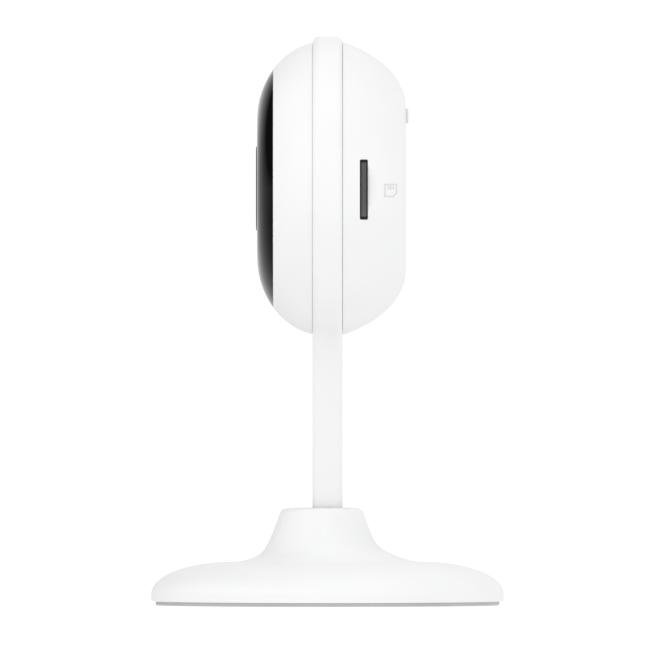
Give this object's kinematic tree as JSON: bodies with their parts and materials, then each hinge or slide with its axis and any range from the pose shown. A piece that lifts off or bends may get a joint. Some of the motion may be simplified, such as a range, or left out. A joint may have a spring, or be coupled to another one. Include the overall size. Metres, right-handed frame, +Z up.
{
  "type": "indoor security camera",
  "caption": "Indoor security camera: a round lens head held in a hoop on a slim stem that tilts in a wide weighted round foot.",
  "frame": {"origin": "centre of the underside of the foot pad, on the surface that the camera stands on", "axes": "+Z up, the lens looks along -Y, +X is the side with the memory card slot"},
  "size_m": [0.0706, 0.0706, 0.1137],
  "materials": {
    "white_plastic": "satin white moulded plastic",
    "base_plastic": "matt off-white moulded plastic",
    "black_face": "polished black, lets infrared light through",
    "bezel": "polished black",
    "clear_glass": "clear window, anti-reflection coated",
    "coated_glass": "coated lens glass",
    "filter_glass": "infrared filter glass",
    "black_foam": "closed-cell foam",
    "lens_metal": "black anodised",
    "brass_ring": "turned",
    "black_plastic": "moulded black",
    "copper": "enamelled copper winding",
    "sensor": "packaged sensor",
    "circuit_board": "green solder mask",
    "led_lens": "clear epoxy dome",
    "clear_plastic": "clear light guide",
    "shield_metal": "tinned sheet",
    "rubber_boot": "moulded silicone",
    "thermal_silicone": "soft gap filler",
    "aluminium": "plain",
    "card_plastic": "moulded dark grey",
    "button_plastic": "light grey moulded plastic",
    "cone_film": "pressed film",
    "antenna_film": "black film over copper",
    "lead_jacket": "thin coaxial lead",
    "ribbon_film": "flat flexible cable",
    "screw_steel": "zinc plated",
    "hinge_steel": "stamped spring steel",
    "washer_plastic": "acetal friction washer",
    "ballast_steel": "plain steel ring",
    "foot_rubber": "matt grey silicone"
  },
  "bodies": {
    "base": {"base_shell": "white_plastic", "base_plate": "base_plastic", "ballast": "ballast_steel", "base_screws": "screw_steel", "foot_pad": "foot_rubber", "hinge_cradle": "hinge_steel", "cradle_screws": "screw_steel", "hinge_pin": "screw_steel", "friction_washers": "washer_plastic", "spring_washer": "hinge_steel", "hinge_nut": "screw_steel"},
    "camera_head": {"front_cover": "black_face", "lens_bezel": "bezel", "lens_window": "clear_glass", "lens_baffle": "black_foam", "lens_barrel": "lens_metal", "lens_elements": "coated_glass", "lens_lock_ring": "brass_ring", "lens_holder": "black_plastic", "ir_cut_coil": "copper", "image_sensor": "sensor", "led_board": "circuit_board", "infrared_leds": "led_lens", "photocell": "sensor", "status_led": "led_lens", "light_pipe": "clear_plastic", "microphone": "shield_metal", "microphone_boot": "rubber_boot", "front_shell": "white_plastic", "rear_shell": "white_plastic", "main_board": "circuit_board", "processor_shield": "shield_metal", "thermal_pad": "thermal_silicone", "heat_spreader": "aluminium", "wifi_module": "circuit_board", "capacitors": "aluminium", "power_chips": "black_plastic", "card_socket": "shield_metal", "card_guide": "black_plastic", "usb_socket": "shield_metal", "usb_tongue": "black_plastic", "tact_switch": "shield_metal", "speaker_magnet": "shield_metal", "speaker_frame": "black_plastic", "speaker_cone": "cone_film", "speaker_gasket": "black_foam", "antenna": "antenna_film", "antenna_lead": "lead_jacket", "ribbon_cable": "ribbon_film", "head_screws": "screw_steel", "board_screws": "screw_steel", "holder_screws": "screw_steel", "arm": "white_plastic"},
    "reset_button": {"reset_button": "button_plastic"},
    "switch_plunger": {"tact_plunger": "black_plastic"},
    "memory_card": {"memory_card": "card_plastic"},
    "day_night_filter": {"ir_cut_carriage": "black_plastic", "ir_cut_panes": "filter_glass"}
  },
  "joints": [
    {"name": "tilt", "type": "hinge", "parent": "base", "child": "camera_head", "pos_m": [0, 0, 0.0145], "axis": [1, 0, 0], "range_deg": [-15, 30]},
    {"name": "reset_press", "type": "slide", "parent": "camera_head", "child": "reset_button", "axis": [0, -1, 0], "range_m": [0, 0.00035], "stiffness_N_per_m": 2000, "springref_m": -0.0002},
    {"name": "switch_press", "type": "slide", "parent": "camera_head", "child": "switch_plunger", "axis": [0, -1, 0], "range_m": [0, 0.00035]},
    {"name": "card_slide", "type": "slide", "parent": "camera_head", "child": "memory_card", "axis": [1, 0, 0], "range_m": [-0.0006, 0.016]},
    {"name": "filter_shift", "type": "slide", "parent": "camera_head", "child": "day_night_filter", "axis": [0, 0, -1], "range_m": [0, 0.0062]}
  ],
  "couplings": [
    {"joint": "switch_press", "follows": "reset_press", "ratio": 1}
  ]
}
